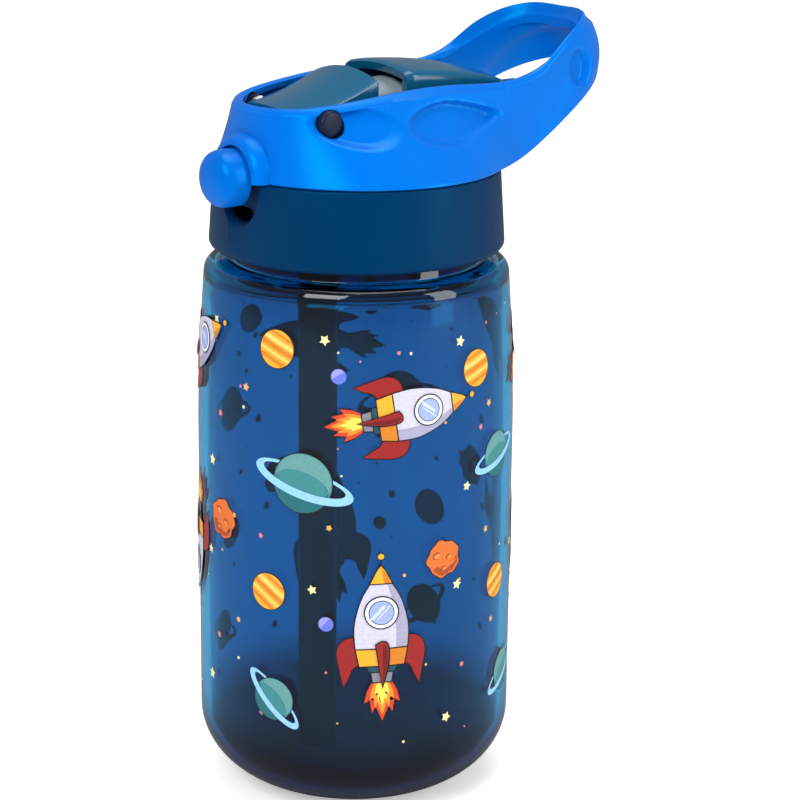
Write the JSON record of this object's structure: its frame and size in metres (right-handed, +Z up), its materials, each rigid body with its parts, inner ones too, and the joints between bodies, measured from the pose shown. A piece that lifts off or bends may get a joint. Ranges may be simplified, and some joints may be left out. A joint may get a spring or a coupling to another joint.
{
  "type": "kids water bottle",
  "caption": "Kids water bottle: clear tinted vessel, threaded screw lid with carrying loop, push-button flip spout under a hinged shield, and a straw.",
  "frame": {"origin": "centre of the base's flat face, on the vessel's axis", "axes": "+Z up along the vessel's axis; the push button faces -Y and the carrying loop reaches out along +Y; +X is the right-hand side seen from the button"},
  "size_m": [0.074, 0.109, 0.1807],
  "materials": {
    "vessel": "clear tinted, high gloss, printed pattern",
    "cap": "satin moulded",
    "shroud": "semi-gloss moulded",
    "button": "semi-gloss moulded",
    "flip": "gloss moulded",
    "core": "satin moulded",
    "silicone": "translucent soft",
    "steel": "drawn wire"
  },
  "bodies": {
    "vessel": {"bottle": "vessel"},
    "seal_ring": {"neck_seal": "silicone"},
    "lid": {"screw_cap": "cap", "straw_connector": "core", "straw": "core", "vent_valve": "silicone", "handle_shroud": "shroud", "flip_frame": "core", "button_spring": "steel", "spout_seal": "silicone", "spout_spring": "steel", "hinge_pin_left": "core", "hinge_pin_right": "core", "shield_pin": "core"},
    "button": {"push_button": "button", "latch_slide": "core"},
    "spout": {"spout_body": "flip", "mouthpiece": "silicone"},
    "shield": {"spout_shield": "flip"}
  },
  "joints": [
    {"name": "lid_rise", "type": "slide", "parent": "vessel", "child": "seal_ring", "axis": [0, 0, 1], "range_m": [0, 0.0051]},
    {"name": "lid_turn", "type": "hinge", "parent": "seal_ring", "child": "lid", "pos_m": [0, 0, 0.14], "axis": [0, 0, 1], "range_deg": [0, 400]},
    {"name": "button_press", "type": "slide", "parent": "lid", "child": "button", "axis": [0, 1, 0], "range_m": [0, 0.0025], "stiffness_N_per_m": 400, "springref_m": -0.002, "deforming": ["button_spring"]},
    {"name": "spout_flip", "type": "hinge", "parent": "lid", "child": "spout", "pos_m": [0, -0.0196, 0.162], "axis": [1, 0, 0], "range_deg": [0, 70]},
    {"name": "shield_flip", "type": "hinge", "parent": "lid", "child": "shield", "pos_m": [0, 0.0365, 0.1608], "axis": [-1, 0, 0], "range_deg": [0, 81]}
  ],
  "couplings": [
    {"joint": "lid_rise", "follows": "lid_turn", "m_per_rad": 0.0007162},
    {"joint": "shield_flip", "follows": "spout_flip", "ratio": 1.15}
  ]
}
